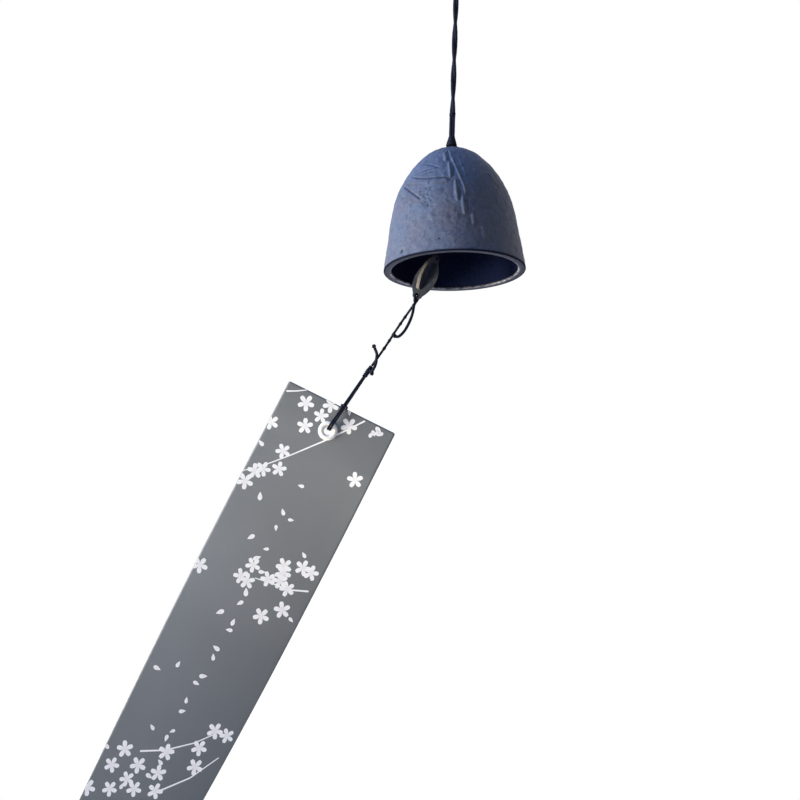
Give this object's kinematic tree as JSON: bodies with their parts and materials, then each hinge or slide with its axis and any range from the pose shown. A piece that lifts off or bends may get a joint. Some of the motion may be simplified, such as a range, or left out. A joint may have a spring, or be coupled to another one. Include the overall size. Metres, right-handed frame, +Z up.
{
  "type": "furin wind bell",
  "caption": "Cast iron wind bell hung on a doubled cord, with a crossed-plate clapper inside and a long paper strip on a string below that catches the wind.",
  "frame": {"origin": "the point inside the hanging loop that bears on its hook", "axes": "+Z up, +X to the viewer's right, +Y away from the viewer; the strip is blown towards -X"},
  "size_m": [0.2244, 0.0732, 0.49],
  "materials": {
    "cast_iron": "matte blue-grey coat over the sand-cast grain",
    "plate_metal": "dark grey, dull",
    "strip_paper": "matt grey card with a white blossom print",
    "eyelet_white": "white, satin",
    "cord": "navy-black twisted cord",
    "string": "navy-black thin string"
  },
  "bodies": {
    "hanging_loop": {"hanging_loop": "cord", "loop_knot": "cord"},
    "hanging_cord": {"hanging_cord": "cord"},
    "crown_knot": {"crown_knot": "cord"},
    "bell": {"bell": "cast_iron", "crown_cord": "cord", "stop_knot": "cord"},
    "clapper_cord": {"clapper_cord": "string"},
    "clapper": {"clapper_plate_upper": "plate_metal", "clapper_plate_lower": "plate_metal"},
    "upper_string": {"string_tie": "string", "tip_knot": "string", "upper_string": "string", "string_tail": "string"},
    "mid_knot": {"mid_knot": "string", "mid_knot_tails": "string"},
    "strip": {"lower_string": "string", "paper_strip": "strip_paper", "eyelet": "eyelet_white", "eyelet_washer": "eyelet_white"}
  },
  "joints": [
    {"name": "cord_swing", "type": "hinge", "parent": "hanging_loop", "child": "hanging_cord", "pos_m": [-0.00114, 0, -0.03253], "axis": [0, 1, 0], "range_deg": [-30, 30]},
    {"name": "bell_turn", "type": "hinge", "parent": "hanging_cord", "child": "crown_knot", "pos_m": [-0.00391, 0, -0.11198], "axis": [0.0349, 0, 0.9994], "continuous": true},
    {"name": "bell_swing", "type": "hinge", "parent": "crown_knot", "child": "bell", "pos_m": [-0.00391, 0, -0.11198], "axis": [0, 1, 0], "range_deg": [-20, 20]},
    {"name": "clapper_cord_swing", "type": "hinge", "parent": "bell", "child": "clapper_cord", "pos_m": [-0.00375, 0.00011, -0.12123], "axis": [0, 1, 0], "range_deg": [-36, 10]},
    {"name": "clapper_swing", "type": "hinge", "parent": "clapper_cord", "child": "clapper", "pos_m": [-0.01192, 0.00011, -0.16954], "axis": [0.7969, -0.4695, -0.3801], "range_deg": [-42, 45]},
    {"name": "string_swing", "type": "hinge", "parent": "clapper", "child": "upper_string", "pos_m": [-0.02032, 0.00011, -0.18714], "axis": [0.4237, 0.8829, -0.2021], "range_deg": [-60, 25]},
    {"name": "string_turn", "type": "hinge", "parent": "upper_string", "child": "mid_knot", "pos_m": [-0.0425, -0.00021, -0.22297], "axis": [0.5519, 0, 0.8339], "continuous": true},
    {"name": "strip_flap", "type": "hinge", "parent": "mid_knot", "child": "strip", "pos_m": [-0.0425, -0.00021, -0.22297], "axis": [0.8946, 0.0522, -0.4439], "range_deg": [-60, 60]}
  ]
}
